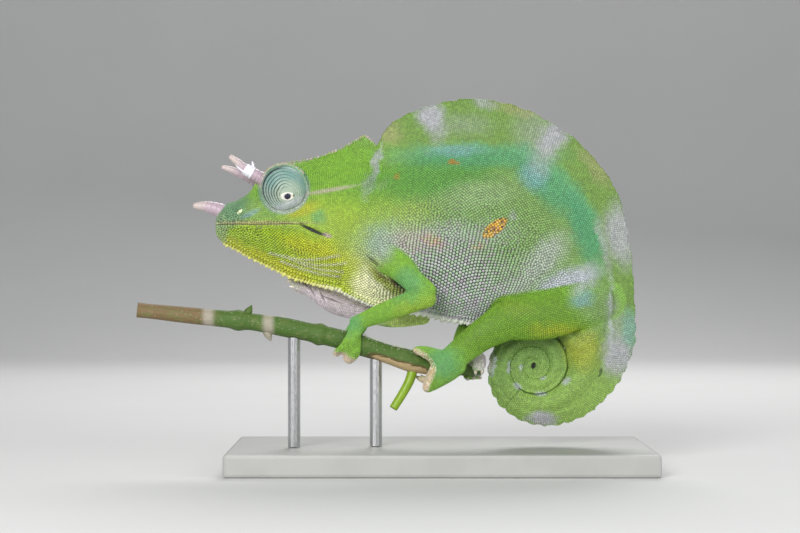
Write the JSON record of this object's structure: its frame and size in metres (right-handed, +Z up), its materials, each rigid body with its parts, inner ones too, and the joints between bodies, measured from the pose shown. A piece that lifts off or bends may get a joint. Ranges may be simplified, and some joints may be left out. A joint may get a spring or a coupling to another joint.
{
  "type": "three-horned chameleon model",
  "caption": "Still life-size chameleon with horned snout, tall back crest and coiled tail, gripping a cut branch on a plain display stand.",
  "frame": {"origin": "middle of the underside of the display stand's base", "axes": "+X from snout to tail, +Y to the animal's right, +Z up"},
  "size_m": [0.1824, 0.084, 0.1331],
  "materials": {
    "skin_head": "fine tubercles, satin, bright green to yellow green",
    "skin_body": "fine granular scales, satin, green with teal, lilac and ochre",
    "skin_tail": "fine granular scales, satin, green",
    "skin_limb": "fine granular scales, satin, bright green",
    "skin_eye": "ringed folds, satin, blue green",
    "eyeball": "dark, wet gloss",
    "horn": "ringed, pale lilac to cream",
    "claw": "pale, smooth",
    "bark": "green bark going to tan at the thin end",
    "shoot": "smooth lime green",
    "stand": "plain warm grey, eased edges",
    "rod": "plain bright rod"
  },
  "bodies": {
    "root": {"head": "skin_head", "torso": "skin_body", "tail_base": "skin_tail", "tail_bend": "skin_tail", "tail_coil": "skin_tail", "tail_tip": "skin_tail", "upper_arm_left": "skin_limb", "forearm_left": "skin_limb", "upper_arm_right": "skin_limb", "forearm_right": "skin_limb", "thigh_left": "skin_limb", "shank_left": "skin_limb", "thigh_right": "skin_limb", "shank_right": "skin_limb", "hand_left": "skin_limb", "hand_right": "skin_limb", "foot_left": "skin_limb", "foot_right": "skin_limb", "eye_turret_left": "skin_eye", "eye_turret_right": "skin_eye", "eyeball_left": "eyeball", "eyeball_right": "eyeball", "horn_rostral": "horn", "horn_brow_left": "horn", "horn_brow_right": "horn", "claw_hand_left_1": "claw", "claw_hand_left_2": "claw", "claw_hand_left_3": "claw", "claw_hand_left_4": "claw", "claw_hand_left_5": "claw", "claw_hand_right_1": "claw", "claw_hand_right_2": "claw", "claw_hand_right_3": "claw", "claw_hand_right_4": "claw", "claw_hand_right_5": "claw", "claw_foot_left_1": "claw", "claw_foot_left_2": "claw", "claw_foot_left_3": "claw", "claw_foot_left_4": "claw", "claw_foot_left_5": "claw", "claw_foot_right_1": "claw", "claw_foot_right_2": "claw", "claw_foot_right_3": "claw", "claw_foot_right_4": "claw", "claw_foot_right_5": "claw", "perch_branch": "bark", "perch_shoot": "shoot", "stand_base": "stand", "stand_rod_1": "rod", "stand_rod_2": "rod"}
  },
  "joints": []
}
